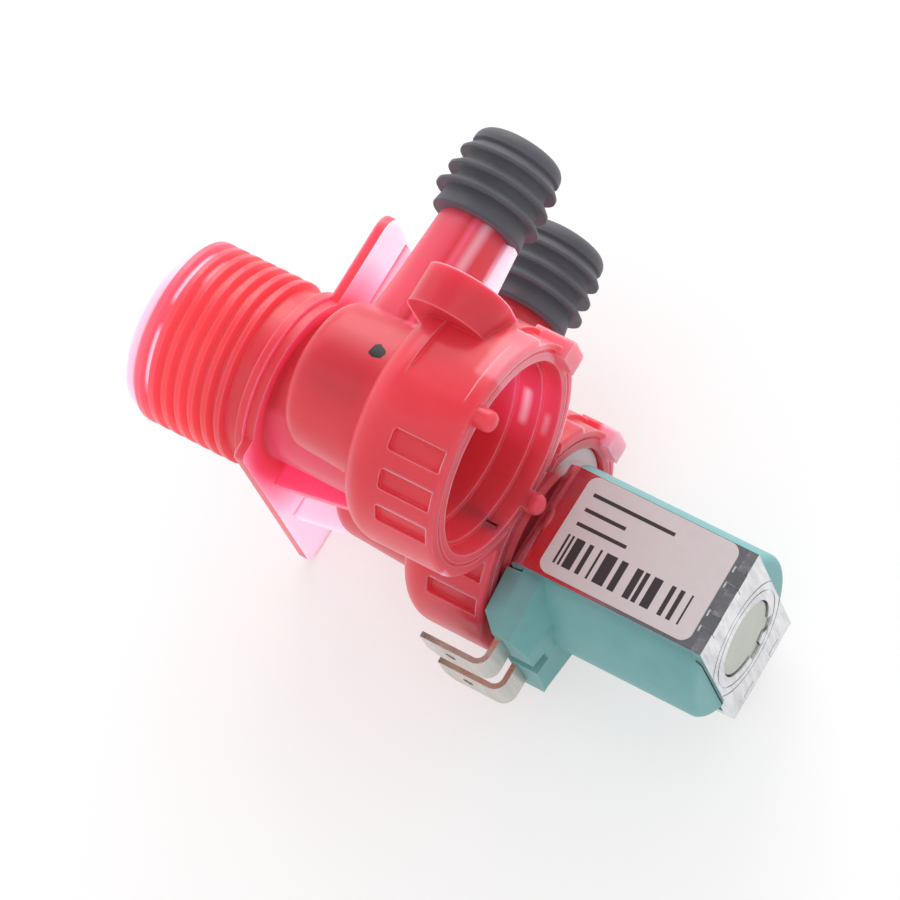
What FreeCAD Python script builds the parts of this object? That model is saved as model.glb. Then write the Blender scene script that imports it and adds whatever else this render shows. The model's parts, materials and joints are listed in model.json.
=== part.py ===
import FreeCAD, Part
import math
import os
import re
import Sketcher

# Washing machine inlet valve, in millimetres.
# The origin is on the inlet axis, on the face of the flange that lies against the cabinet.
# X runs along the inlet towards the solenoid, Y is the way the outlets point, Z is the label side.

doc = FreeCAD.newDocument("InletValve")

# Driving sizes
SIZES = {
    # inlet nipple
    "lip_end": -20.5,
    "lip_rad": "=thread_root + 0.1",
    "thread_rad": 13.45,
    "thread_root": "=thread_rad - 1.1",
    "thread_pitch": 2.209,
    "thread_start": -18.6,
    "thread_run": "=thread_pitch * 6.75",
    "neck_start": -1.2,
    "neck_rad": "=thread_rad + 0.1",
    "filter_rad": "=thread_root - 1.75",
    "filter_floor": -6.0,
    "washer_rad": "=filter_rad - 2.0",
    "washer_floor": 0.6,
    "manifold_rad": 10.3,
    "manifold_bore": 7.0,
    "manifold_end": 26.0,
    # flange
    "flange_thick": 1.5,
    "flange_near": 6.7,
    "flange_far": -32.7,
    "flange_top": 26.2,
    "flange_low": -14.6,
    "flange_round": 3.0,
    "flange_rib_z": -2.0,
    "screw_rad": 2.2,
    "screw_z": -26.5,
    "screw_top": 20.0,
    "screw_low": -4.0,
    # chambers
    "near_z": 15.4,
    "near_y": 0.0,
    "coil_y": -0.3,
    "coil_z": -14.8,
    "collar_rad": "=mouth_rad + 3.4",
    "collar_back": 21.3,
    "collar_front": 37.5,
    "collar_round": 4.2,
    "mouth_rad": 13.9,
    "mouth_floor": "=collar_front - 3.9",
    "chamber_rad": "=mouth_rad - 1.5",
    "chamber_floor": 25.2,
    "drum_start": 8.6,
    "drum_rad": 10.5,
    "drum_grow": 0.8,
    "drum_round": 2.8,
    "far_drum_rad": 11.5,
    "far_back": 22.3,
    "drum_bore": "=far_drum_rad - 5.1",
    "feed_rad": 2.9,
    "feed_z": -5.6,
    "seat_rad": 6.0,
    "seat_bore": "=seat_rad - 1.6",
    "seat_top": "=mouth_floor - 1.3",
    "pocket_floor": "=collar_rad - 0.8",
    "pocket_start": 28.7,
    "pocket_wide": 3.1,
    "rim_rad": "=collar_rad - 0.8",
    "rim_start": "=collar_front - 3.7",
    "lug_thick": 3.0,
    "lug_end": "=collar_front + 1.1",
    "ear_left": 20.1,
    "ear_right": 32.3,
    "ear_low": 9.6,
    "ear_high": 5.8,
    "nub_rad": 1.5,
    "nub_end": "=collar_front + 2.7",
    # outlets
    "outlet_x": 16.45,
    "outlet_rad": 5.3,
    "outlet_base": "=outlet_rad + 0.6",
    "outlet_bore": "=outlet_rad - 1.7",
    "outlet_end": "=seal_end - 1.5",
    "near_out_z": 14.6,
    "far_out_z": -15.0,
    "seal_start": 26.9,
    "seal_wall": "=outlet_rad + 0.7",
    "lip_seal_rad": 7.4,
    "lip_step": 0.24,
    "lip_space": 2.77,
    "lip_top": 35.85,
    "seal_end": 39.7,
    # solenoid
    "coil_rad": 12.1,
    "mould_y": "=coil_y - 0.45",
    "coil_start": "=yoke_start - 0.5",
    "coil_end": "=yoke_end - 0.8",
    "yoke_start": 38.8,
    "yoke_end": 69.0,
    "yoke_thick": 1.5,
    "yoke_high": 27.4,
    "yoke_wide": 15.7,
    "yoke_bend": "=yoke_thick + 1.1",
    "guide_rad": 5.5,
    "guide_bore": "=plunger_rad + 0.08",
    "plunger_rad": 4.0,
    "tab_wide": 6.3,
    "tab_thick": 0.8,
    "tab_space": 10.8,
    "tab_x": 41.4,
    "tab_y": -21.6,
    "tab_tip": 31.6,
    "block_low": -17.3,
}

sheet = doc.addObject("Spreadsheet::Sheet", "Sizes")
for row, (alias, size) in enumerate(SIZES.items(), start=1):
    sheet.set("A%d" % row, alias)
    sheet.set("B%d" % row, str(size))
    sheet.setAlias("B%d" % row, alias)
doc.recompute()


def bound(text):
    """Return the expression with every size name pointing at the sheet."""
    return re.sub(r"[a-z][a-z_]+[a-z]", lambda word: "Sizes." + word.group(0)
                  if word.group(0) in SIZES else word.group(0), str(text))


def number(text):
    """Return the present value of an expression written with size names."""
    value = sheet.evalExpression(bound(text))
    return float(getattr(value, "Value", value))


def new_body(label):
    body = doc.addObject("PartDesign::Body", label)
    body.Label = label
    return body


def new_sketch(body, name, plane="XY_Plane", at=("0", "0", "0"), turn=0.0):
    """Place a sketch on one of the body's own origin planes, shifted by bound sizes."""
    sketch = body.newObject("Sketcher::SketchObject", name)
    support = [item for item in body.Origin.OriginFeatures if item.Role == plane][0]
    sketch.AttachmentSupport = [(support, "")]
    sketch.MapMode = "FlatFace"
    start = FreeCAD.Vector(*[number(part) for part in at])
    rotation = FreeCAD.Rotation(FreeCAD.Vector(1, 0, 0), turn)
    sketch.AttachmentOffset = FreeCAD.Placement(start, rotation)
    for letter, part in zip("xyz", at):
        if part != "0":
            sketch.setExpression("AttachmentOffset.Base." + letter, bound(part))
    return sketch


def pin_point(sketch, geometry, end, spot):
    """Hold a sketch point at a place given by two expressions."""
    for kind, axis, text in (("DistanceX", -2, spot[0]), ("DistanceY", -1, spot[1])):
        if abs(number(text)) < 1e-9:
            sketch.addConstraint(Sketcher.Constraint("PointOnObject", geometry, end, axis))
        else:
            index = sketch.addConstraint(
                Sketcher.Constraint(kind, -1, 1, geometry, end, number(text)))
            sketch.setExpression("Constraints[%d]" % index, bound(text))


def add_outline(sketch, corners):
    """Draw a closed outline. A third entry in a corner rounds it by that radius."""
    count = len(corners)
    places = [FreeCAD.Vector(number(item[0]), number(item[1]), 0) for item in corners]
    leave, reach, arcs = [], [], []
    for index, item in enumerate(corners):
        here = places[index]
        if len(item) < 3:
            leave.append(here)
            reach.append(here)
            arcs.append(None)
            continue
        back = (places[index - 1] - here).normalize()
        ahead = (places[(index + 1) % count] - here).normalize()
        radius = number(item[2])
        half = back.getAngle(ahead) / 2
        run = radius / math.tan(half)
        first = here + back * run
        second = here + ahead * run
        middle = here + (back + ahead).normalize() * (radius / math.sin(half))
        reach.append(first)
        leave.append(second)
        angles = [math.atan2(point.y - middle.y, point.x - middle.x) for point in (first, second)]
        clockwise = back.cross(ahead).z > 0
        if clockwise:
            angles.reverse()
        if angles[1] < angles[0]:
            angles[1] += 2 * math.pi
        circle = Part.Circle(middle, FreeCAD.Vector(0, 0, 1), radius)
        arcs.append((Part.ArcOfCircle(circle, *angles), clockwise, item[2]))
    lines = []
    for index in range(count):
        after = (index + 1) % count
        lines.append(sketch.addGeometry(Part.LineSegment(leave[index], reach[after]), False))
    for index in range(count):
        before = lines[index - 1]
        after = lines[index]
        if arcs[index] is None:
            sketch.addConstraint(Sketcher.Constraint("Coincident", before, 2, after, 1))
            pin_point(sketch, after, 1, corners[index])
            continue
        shape, clockwise, radius = arcs[index]
        arc = sketch.addGeometry(shape, False)
        first, second = (2, 1) if clockwise else (1, 2)
        sketch.addConstraint(Sketcher.Constraint("Tangent", before, 2, arc, first))
        sketch.addConstraint(Sketcher.Constraint("Tangent", arc, second, after, 1))
        held = sketch.addConstraint(Sketcher.Constraint("Radius", arc, number(radius)))
        sketch.setExpression("Constraints[%d]" % held, bound(radius))
        corner = sketch.addGeometry(Part.Point(places[index]), True)
        pin_point(sketch, corner, 1, corners[index])
        sketch.addConstraint(Sketcher.Constraint("PointOnObject", corner, 1, before))
        sketch.addConstraint(Sketcher.Constraint("PointOnObject", corner, 1, after))


def add_disc(sketch, middle, radius):
    """Draw a circle held by its centre and radius."""
    centre = FreeCAD.Vector(number(middle[0]), number(middle[1]), 0)
    circle = sketch.addGeometry(
        Part.Circle(centre, FreeCAD.Vector(0, 0, 1), number(radius)), False)
    pin_point(sketch, circle, 3, middle)
    held = sketch.addConstraint(Sketcher.Constraint("Radius", circle, number(radius)))
    sketch.setExpression("Constraints[%d]" % held, bound(radius))


def turned(body, name, corners, at=("0", "0", "0"), about="H_Axis", cut=False,
           start=0.0, sweep=360.0):
    """Turn an outline about an axis through the sketch's own origin."""
    sketch = new_sketch(body, name + "Sketch", "XY_Plane", at, start)
    add_outline(sketch, corners)
    kind = "PartDesign::Groove" if cut else "PartDesign::Revolution"
    feature = body.newObject(kind, name)
    feature.Profile = sketch
    feature.Refine = False
    feature.ReferenceAxis = (sketch, [about])
    feature.Angle = sweep
    body.Tip = feature
    return feature


def pushed(body, name, sketch, length, cut=False, back=False, both=False):
    """Push a sketch out, or cut with it, by a bound length."""
    feature = body.newObject("PartDesign::Pocket" if cut else "PartDesign::Pad", name)
    feature.Profile = sketch
    feature.Refine = False
    feature.Length = number(length)
    feature.setExpression("Length", bound(length))
    feature.Reversed = back
    if both:
        feature.Midplane = True
    body.Tip = feature
    return feature


# Valve body: one translucent moulding with inlet, flange, two chambers and two outlets.
# Outside first, then the hollows.

def make_valve_body():
    body = new_body("valve_body")
    turned(body, "InletTube", [
        ("lip_end", "0"),
        ("lip_end", "lip_rad", "0.5"),
        ("thread_start + 0.3", "lip_rad"),
        ("thread_start + 0.5", "thread_root"),
        ("neck_start - 0.5", "thread_root"),
        ("neck_start", "neck_rad"),
        ("0", "neck_rad"),
        ("0", "thread_root + 0.6"),
        ("flange_thick", "thread_root + 0.6"),
        ("flange_thick", "manifold_rad"),
        ("manifold_end", "manifold_rad", "1.5"),
        ("manifold_end", "0"),
    ])
    add_thread(body)
    add_flange(body)
    for side, level, middle, radius, back in (
            ("Far", "coil_y", "coil_z", "far_drum_rad", "far_back"),
            ("Near", "near_y", "near_z", "drum_rad", "collar_back")):
        turned(body, side + "Chamber", [
            ("drum_start", "0"),
            ("drum_start", radius, "drum_round"),
            (back + " + 1", radius + " + drum_grow"),
            (back, "collar_rad", "collar_round"),
            ("collar_front", "collar_rad", "0.5"),
            ("collar_front", "0"),
        ], at=("0", level, middle))
    for side, middle in (("Far", "far_out_z"), ("Near", "near_out_z")):
        turned(body, side + "Outlet", [
            ("0", "6"),
            ("outlet_base + 0.8", "6"),
            ("outlet_base", "15"),
            ("outlet_rad", "seal_start - 0.6"),
            ("outlet_rad - 0.35", "seal_start"),
            ("outlet_rad - 0.35", "outlet_end - 0.9"),
            ("outlet_rad - 1.0", "outlet_end"),
            ("0", "outlet_end"),
        ], at=("outlet_x", "0", middle), about="V_Axis")
        sketch = new_sketch(body, side + "FinSketch", "XY_Plane", ("0", "0", middle))
        add_outline(sketch, [
            ("outlet_x", "12"),
            ("outlet_x + outlet_rad + 2.9", "12"),
            ("outlet_x + outlet_rad + 1.6", "seal_start - 0.4", "0.4"),
            ("outlet_x", "seal_start - 0.4"),
        ])
        pushed(body, side + "Fin", sketch, "1.2", both=True)
    add_ears(body)
    add_pockets(body)
    cut_hollows(body)
    return body


def add_thread(body):
    """Wind the hose thread on the nipple."""
    sketch = new_sketch(body, "ThreadSketch")
    add_outline(sketch, [
        ("thread_start - 1.0", "thread_root - 0.2"),
        ("thread_start - 0.4", "thread_rad"),
        ("thread_start + 0.4", "thread_rad"),
        ("thread_start + 1.0", "thread_root - 0.2"),
    ])
    thread = body.newObject("PartDesign::AdditiveHelix", "Thread")
    thread.Profile = sketch
    thread.Refine = False
    thread.ReferenceAxis = (sketch, ["H_Axis"])
    thread.Mode = 0
    thread.Pitch = number("thread_pitch")
    thread.setExpression("Pitch", bound("thread_pitch"))
    thread.Height = number("thread_run")
    thread.setExpression("Height", bound("thread_run"))
    thread.Reversed = False
    body.Tip = thread


def add_flange(body):
    """Lay the mounting flange and its webs on the nipple."""
    sketch = new_sketch(body, "FlangeSketch", "YZ_Plane")
    add_outline(sketch, [
        ("flange_low + 0.4", "flange_near", "1.0"),
        ("flange_top", "flange_near", "flange_round"),
        ("flange_top", "flange_far", "flange_round"),
        ("flange_low - 0.5", "flange_far", "2.0"),
    ])
    pushed(body, "Flange", sketch, "flange_thick")
    sketch = new_sketch(body, "FlangeStepSketch", "XY_Plane", ("0", "0", "flange_rib_z - 1.2"))
    add_outline(sketch, [
        ("0.8", "8"),
        ("flange_thick + 1.6", "8"),
        ("flange_thick + 1.6", "flange_top - 1.6", "0.6"),
        ("0.8", "flange_top - 0.6"),
    ])
    pushed(body, "FlangeStep", sketch, "1.2")
    for name, place, low in (("WebNear", "-7.6", "-12.5"), ("WebFar", "-19.1", "-12.8")):
        sketch = new_sketch(body, name + "Sketch", "XY_Plane", ("0", "0", place))
        add_outline(sketch, [
            ("0.8", "-5"),
            ("0.8", low),
            ("flange_thick + 1", low, "0.8"),
            ("collar_back + 2", "%s + 3.4" % low),
            ("collar_back + 2", "-5"),
        ])
        pushed(body, name, sketch, "1.2")


def add_ears(body):
    """Step the open side of both rims, then add the lugs, the locating nubs and the ear."""
    for side, level, middle, low, high in (
            ("Far", "coil_y", "coil_z", "-4.2", "1.5"), ("Near", "near_y", "near_z", "-2.9", "2.5")):
        turned(body, side + "RimStep", [
            ("rim_start", "rim_rad"),
            ("collar_front + 1", "rim_rad"),
            ("collar_front + 1", "collar_rad + 1"),
            ("rim_start", "collar_rad + 1"),
        ], at=("0", level, middle), cut=True, start=-90.0, sweep=127.0)
        turned(body, side + "RimGroove", [
            ("collar_front - 0.4", "mouth_rad + 1.3"),
            ("collar_front - 0.4", "mouth_rad + 1.8"),
            ("collar_front + 1", "mouth_rad + 1.8"),
            ("collar_front + 1", "mouth_rad + 1.3"),
        ], at=("0", level, middle), cut=True)
        sketch = new_sketch(body, side + "LugSketch", "YZ_Plane", ("0", "0", "lug_end - 6"))
        top = "%s + collar_rad + 0.6" % level
        add_outline(sketch, [
            (top + " - lug_thick", "%s + %s" % (middle, low)),
            (top, "%s + %s" % (middle, low), "0.6"),
            (top, "%s + %s" % (middle, high), "0.6"),
            (top + " - lug_thick", "%s + %s" % (middle, high)),
        ])
        pushed(body, side + "Lug", sketch, "6")
        turned(body, side + "Nub", [
            ("collar_front - 4", "0"),
            ("collar_front - 4", "nub_rad"),
            ("nub_end", "nub_rad", "1.1"),
            ("nub_end", "0"),
        ], at=("0", "-0.2", "%s + collar_rad - nub_rad - 0.3" % middle))
    sine = math.sin(math.radians(20))
    cosine = math.cos(math.radians(20))
    sketch = new_sketch(
        body, "EarRecessSketch", "XY_Plane",
        ("0", "(collar_rad - 0.95) * %.6f" % sine, "near_z + (collar_rad - 0.95) * %.6f" % cosine),
        -20.0)
    add_outline(sketch, [
        ("collar_back + 5.1", "-6.5"),
        ("collar_front - 2.0", "-6.5"),
        ("collar_front - 2.0", "6.5"),
        ("collar_back + 5.1", "6.5"),
    ])
    pushed(body, "EarRecess", sketch, "2.5", cut=True, back=True)
    sketch = new_sketch(body, "EarSketch", "XZ_Plane", ("0", "0", "-ear_low"))
    crown = "near_z + collar_rad + 1.1"
    add_outline(sketch, [
        ("ear_left", "near_z + 2"),
        ("ear_left", crown, "5.2"),
        ("ear_right", crown, "6.4"),
        ("ear_right", "near_z + 2"),
    ])
    pushed(body, "Ear", sketch, "ear_high", back=True)


def add_pockets(body):
    """Sink the row of grip pockets into each collar."""
    for side, middle, first in (("Near", "near_z", -27.0), ("Far", "coil_z", -22.3)):
        turn = -first
        sine = math.sin(math.radians(turn))
        cosine = math.cos(math.radians(turn))
        sketch = new_sketch(
            body, side + "PocketSketch", "XY_Plane",
            ("0", "-pocket_floor * %.6f" % sine, "%s + pocket_floor * %.6f" % (middle, cosine)),
            turn)
        add_outline(sketch, [
            ("pocket_start", "-pocket_wide / 2", "0.5"),
            ("collar_front - 0.9", "-pocket_wide / 2"),
            ("collar_front - 0.9", "pocket_wide / 2"),
            ("pocket_start", "pocket_wide / 2", "0.5"),
        ])
        pocket = pushed(body, side + "Pocket", sketch, "2", cut=True, back=True)
        pattern = body.newObject("PartDesign::PolarPattern", side + "Pockets")
        pattern.Originals = [pocket]
        pattern.Refine = False
        pattern.Axis = (body.getObject(side + "ChamberSketch"), ["H_Axis"])
        pattern.Angle = 38.6
        pattern.Occurrences = 3
        body.Tip = pattern


def cut_hollows(body):
    """Open the inlet, the working chamber with its seat, the blank chamber and the outlets."""
    turned(body, "InletBore", [
        ("lip_end - 1", "0"),
        ("lip_end - 1", "filter_rad + 0.7"),
        ("lip_end + 1.2", "filter_rad + 0.7"),
        ("lip_end + 1.2", "filter_rad"),
        ("filter_floor", "filter_rad"),
        ("filter_floor", "washer_rad"),
        ("washer_floor", "washer_rad"),
        ("washer_floor", "manifold_bore"),
        ("manifold_end - 2", "manifold_bore"),
        ("manifold_end - 2", "0"),
    ], cut=True)
    turned(body, "FarHollow", [
        ("collar_front + 1", "0"),
        ("collar_front + 1", "mouth_rad"),
        ("mouth_floor", "mouth_rad"),
        ("mouth_floor", "chamber_rad"),
        ("chamber_floor", "chamber_rad"),
        ("chamber_floor", "seat_rad"),
        ("seat_top - 1.0", "seat_rad"),
        ("seat_top", "seat_bore + 0.6"),
        ("seat_top", "0"),
    ], at=("0", "coil_y", "coil_z"), cut=True)
    turned(body, "SeatBore", [
        ("drum_start + 2.4", "0"),
        ("drum_start + 2.4", "drum_bore"),
        ("far_back - 1", "drum_bore"),
        ("far_back + 1", "seat_bore"),
        ("seat_top + 1", "seat_bore"),
        ("seat_top + 1", "0"),
    ], at=("0", "coil_y", "coil_z"), cut=True)
    sketch = new_sketch(body, "FeedPortSketch", "YZ_Plane", ("0", "0", "manifold_end - 3"))
    add_disc(sketch, ("0", "feed_z"), "feed_rad")
    pushed(body, "FeedPort", sketch, "chamber_floor - manifold_end + 4", cut=True, back=True)
    turned(body, "NearHollow", [
        ("collar_front + 1", "0"),
        ("collar_front + 1", "mouth_rad + 0.35"),
        ("collar_front - 0.6", "mouth_rad"),
        ("collar_front - 2.6", "mouth_rad"),
        ("collar_front - 2.6", "mouth_rad - 0.7"),
        ("mouth_floor - 2.4", "mouth_rad - 0.7"),
        ("mouth_floor - 2.4", "chamber_rad"),
        ("chamber_floor", "chamber_rad"),
        ("chamber_floor", "drum_bore - 0.2"),
        ("drum_start + 3.0", "drum_bore - 0.2"),
        ("drum_start + 3.0", "0"),
    ], at=("0", "near_y", "near_z"), cut=True)
    for side, middle, low in (("Far", "far_out_z", "coil_y"), ("Near", "near_out_z", "near_z - 3.4")):
        turned(body, side + "OutletBore", [
            ("0", low),
            ("0", "outlet_end + 1"),
            ("outlet_bore", "outlet_end + 1"),
            ("outlet_bore", low),
        ], at=("outlet_x", "0", middle), about="V_Axis", cut=True)
    for name, level in (("ScrewHoleTop", "screw_top"), ("ScrewHoleLow", "screw_low")):
        sketch = new_sketch(body, name + "Sketch", "YZ_Plane", ("0", "0", "-1"))
        add_disc(sketch, (level, "screw_z"), "screw_rad")
        pushed(body, name, sketch, "flange_thick + 2", cut=True, back=True)


# Rubber outlet seals with three backswept lips

def make_outlet_seal(label, middle):
    body = new_body(label)
    corners = [
        ("outlet_rad - 0.33", "seal_start"),
        ("outlet_rad + 1.55", "seal_start", "0.3"),
        ("outlet_rad + 1.05", "seal_start + 2.6"),
    ]
    for turn in (2, 1, 0):
        tip = "lip_top - lip_space * %d" % turn
        radius = "lip_seal_rad + lip_step * %d" % turn
        corners.append(("seal_wall", "%s - 0.25" % tip))
        corners.append((radius, "%s - 0.5" % tip))
        corners.append((radius, "%s - 0.1" % tip))
        corners.append(("seal_wall + 0.1", "%s + 1.3" % tip))
    corners.append(("seal_wall + 0.65", "lip_top + 1.55"))
    corners.append(("seal_wall + 0.6", "seal_end", "1.9"))
    corners.append(("outlet_bore", "seal_end", "0.4"))
    corners.append(("outlet_bore", "outlet_end + 0.05"))
    corners.append(("outlet_rad - 0.33", "outlet_end + 0.05"))
    turned(body, "Seal", corners, at=("outlet_x", "0", middle), about="V_Axis")


# Inlet strainer basket and flow washer

def make_inlet_strainer():
    body = new_body("inlet_strainer")
    turned(body, "Basket", [
        ("lip_end + 0.2", "filter_rad + 0.6"),
        ("lip_end + 0.2", "filter_rad - 1.4"),
        ("lip_end + 11", "filter_rad - 3.4"),
        ("lip_end + 11", "0"),
        ("lip_end + 12", "0"),
        ("lip_end + 12", "filter_rad - 2.6"),
        ("lip_end + 1.15", "filter_rad - 0.5"),
        ("lip_end + 1.15", "filter_rad + 0.6"),
    ])
    sketch = new_sketch(body, "SlotSketch", "XY_Plane", ("0", "0", "filter_rad - 4.6"))
    add_outline(sketch, [
        ("lip_end + 2.4", "-0.9"),
        ("lip_end + 10", "-0.9"),
        ("lip_end + 10", "0.9"),
        ("lip_end + 2.4", "0.9"),
    ])
    slot = pushed(body, "Slot", sketch, "8", cut=True, back=True)
    pattern = body.newObject("PartDesign::PolarPattern", "Slots")
    pattern.Originals = [slot]
    pattern.Refine = False
    pattern.Axis = (body.getObject("BasketSketch"), ["H_Axis"])
    pattern.Angle = 360.0
    pattern.Occurrences = 14
    body.Tip = pattern


def make_flow_washer():
    body = new_body("flow_washer")
    turned(body, "Washer", [
        ("washer_floor - 3.4", "3.2", "0.6"),
        ("washer_floor", "2.6"),
        ("washer_floor", "washer_rad - 0.05"),
        ("washer_floor - 3.4", "washer_rad - 0.05", "0.5"),
    ])


# Working parts inside the far chamber, all about the solenoid axis

AXIS = ("0", "coil_y", "coil_z")


def key_corners(angle, low, high, half):
    """The corners of a radial key beside the coil's axis, its angle measured from the rear side."""
    sine = math.sin(math.radians(angle))
    cosine = math.cos(math.radians(angle))
    return [("coil_y + (%s) * %.6f + %.6f" % (far, sine, side * cosine),
             "coil_z - (%s) * %.6f + %.6f" % (far, cosine, side * sine))
            for far, side in ((low, -half), (high, -half), (high, half), (low, half))]


def make_guide_tube():
    body = new_body("guide_tube")
    turned(body, "Tube", [
        ("mouth_floor + 1.4", "mouth_rad - 3.5"),
        ("mouth_floor + 1.4", "mouth_rad - 0.1"),
        ("collar_front - 0.8", "mouth_rad - 0.1", "0.4"),
        ("collar_front - 0.8", "mouth_rad - 2.3"),
        ("collar_front + 0.1", "mouth_rad - 2.7"),
        ("collar_front + 0.1", "7.7"),
        ("yoke_start - 0.1", "7.7"),
        ("yoke_start - 0.1", "guide_rad"),
        ("yoke_end - 0.3", "guide_rad"),
        ("yoke_end - 0.3", "0"),
        ("yoke_end - 0.8", "0"),
        ("yoke_end - 0.8", "guide_bore"),
        ("yoke_start - 1.3", "guide_bore"),
        ("yoke_start - 1.3", "mouth_rad - 3.5"),
    ], at=AXIS)
    for name, angle in (("KeyLow", 4), ("KeyTop", 42)):
        sketch = new_sketch(body, name + "Sketch", "YZ_Plane", ("0", "0", "yoke_end - 0.9"))
        add_outline(sketch, key_corners(angle, "guide_rad - 1.2", "guide_rad + 1.3", 1.1))
        pushed(body, name, sketch, "0.5")


def make_diaphragm():
    body = new_body("diaphragm")
    turned(body, "Membrane", [
        ("mouth_floor", "mouth_rad - 0.3"),
        ("mouth_floor + 1.35", "mouth_rad - 0.3"),
        ("mouth_floor + 1.35", "mouth_rad - 1.5"),
        ("mouth_floor + 0.5", "mouth_rad - 2.3"),
        ("mouth_floor + 0.1", "seat_rad + 1.4"),
        ("seat_top + 1.2", "seat_rad + 0.4"),
        ("seat_top + 1.2", "1.6"),
        ("seat_top", "1.6"),
        ("seat_top", "seat_rad + 0.2", "0.3"),
        ("mouth_floor - 0.6", "seat_rad + 1.4"),
        ("mouth_floor - 0.3", "mouth_rad - 2.3"),
        ("mouth_floor", "mouth_rad - 1.7"),
    ], at=AXIS)


def make_diaphragm_insert():
    body = new_body("diaphragm_insert")
    turned(body, "Insert", [
        ("seat_top - 2.0", "0.6"),
        ("seat_top - 2.0", "seat_bore - 1", "0.4"),
        ("seat_top", "seat_bore - 1"),
        ("seat_top", "1.6"),
        ("seat_top + 1.2", "1.6"),
        ("seat_top + 1.2", "seat_rad - 0.4"),
        ("seat_top + 2.8", "seat_rad - 0.4", "0.4"),
        ("seat_top + 2.8", "2.6"),
        ("seat_top + 4.6", "1.4"),
        ("seat_top + 4.6", "0.6"),
    ], at=AXIS)


def make_plunger():
    body = new_body("plunger")
    turned(body, "Core", [
        ("seat_top + 5.1", "1.9"),
        ("seat_top + 5.1", "plunger_rad", "0.5"),
        ("yoke_end - 3.5", "plunger_rad", "0.4"),
        ("yoke_end - 3.5", "2.9"),
        ("yoke_end - 13", "2.9"),
        ("yoke_end - 13", "0"),
        ("seat_top + 7.0", "0"),
        ("seat_top + 7.0", "1.9"),
    ], at=AXIS)


def make_plunger_tip_seal():
    body = new_body("plunger_tip_seal")
    turned(body, "TipSeal", [
        ("seat_top + 4.6", "0"),
        ("seat_top + 4.6", "1.85", "0.3"),
        ("seat_top + 6.95", "1.85"),
        ("seat_top + 6.95", "0"),
    ], at=AXIS)


def make_plunger_spring():
    body = new_body("plunger_spring")
    sketch = new_sketch(body, "WireSketch", "XY_Plane", AXIS)
    add_outline(sketch, [
        ("yoke_end - 12.98", "2.3"),
        ("yoke_end - 12.7", "2.02"),
        ("yoke_end - 12.42", "2.3"),
        ("yoke_end - 12.7", "2.58"),
    ])
    spring = body.newObject("PartDesign::AdditiveHelix", "Spring")
    spring.Profile = sketch
    spring.ReferenceAxis = (sketch, ["H_Axis"])
    spring.Mode = 0
    spring.Pitch = 1.9
    spring.Height = 11.5
    body.Tip = spring


# Solenoid: yoke, flux sleeves and coil

def make_yoke_frame():
    body = new_body("yoke_frame")
    top = "coil_z + yoke_high / 2"
    low = "coil_z - yoke_high / 2"
    inner = "yoke_end - yoke_thick"
    sketch = new_sketch(body, "StripSketch", "XZ_Plane", ("0", "0", "-coil_y"))
    add_outline(sketch, [
        ("yoke_start", low, "yoke_bend"),
        (inner, low),
        (inner, low + " + yoke_thick"),
        ("yoke_start + yoke_thick", low + " + yoke_thick", "yoke_bend - yoke_thick"),
        ("yoke_start + yoke_thick", top + " - yoke_thick", "yoke_bend - yoke_thick"),
        (inner, top + " - yoke_thick"),
        (inner, top),
        ("yoke_start", top, "yoke_bend"),
    ])
    pushed(body, "Strip", sketch, "yoke_wide", both=True)
    for side, base in (("Label", top + " - yoke_thick"), ("Back", low)):
        for place, shift in (("Low", "-4.6"), ("Top", "2.2")):
            sketch = new_sketch(body, side + place + "TongueSketch", "YZ_Plane",
                                ("0", "0", inner + " - 0.4"))
            add_outline(sketch, [
                ("coil_y + %s" % shift, base),
                ("coil_y + %s + 2.4" % shift, base),
                ("coil_y + %s + 2.4" % shift, base + " + yoke_thick"),
                ("coil_y + %s" % shift, base + " + yoke_thick"),
            ])
            pushed(body, side + place + "Tongue", sketch, "yoke_thick + 0.45")
    for side, deep, rear in (("Label", top + " - 0.35", True), ("Back", low + " + 0.35", False)):
        for place, shift in (("First", "-4.6"), ("Second", "-2.2"), ("Third", "2.2"), ("Fourth", "4.6")):
            sketch = new_sketch(body, side + place + "StakeSketch", "XY_Plane", ("0", "0", deep))
            add_outline(sketch, [
                ("yoke_end - 2.1", "coil_y + %s - 0.5" % shift),
                ("yoke_end - 0.5", "coil_y + %s - 0.3" % shift),
                ("yoke_end - 0.5", "coil_y + %s + 0.3" % shift),
                ("yoke_end - 2.1", "coil_y + %s + 0.5" % shift),
            ])
            pushed(body, side + place + "Stake", sketch, "3", cut=True, back=rear)
    turned(body, "GuideHole", [
        ("yoke_start - 1", "0"),
        ("yoke_start - 1", "guide_rad + 0.85"),
        ("yoke_start + 3", "guide_rad + 0.85"),
        ("yoke_start + 3", "0"),
    ], at=AXIS, cut=True)


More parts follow.
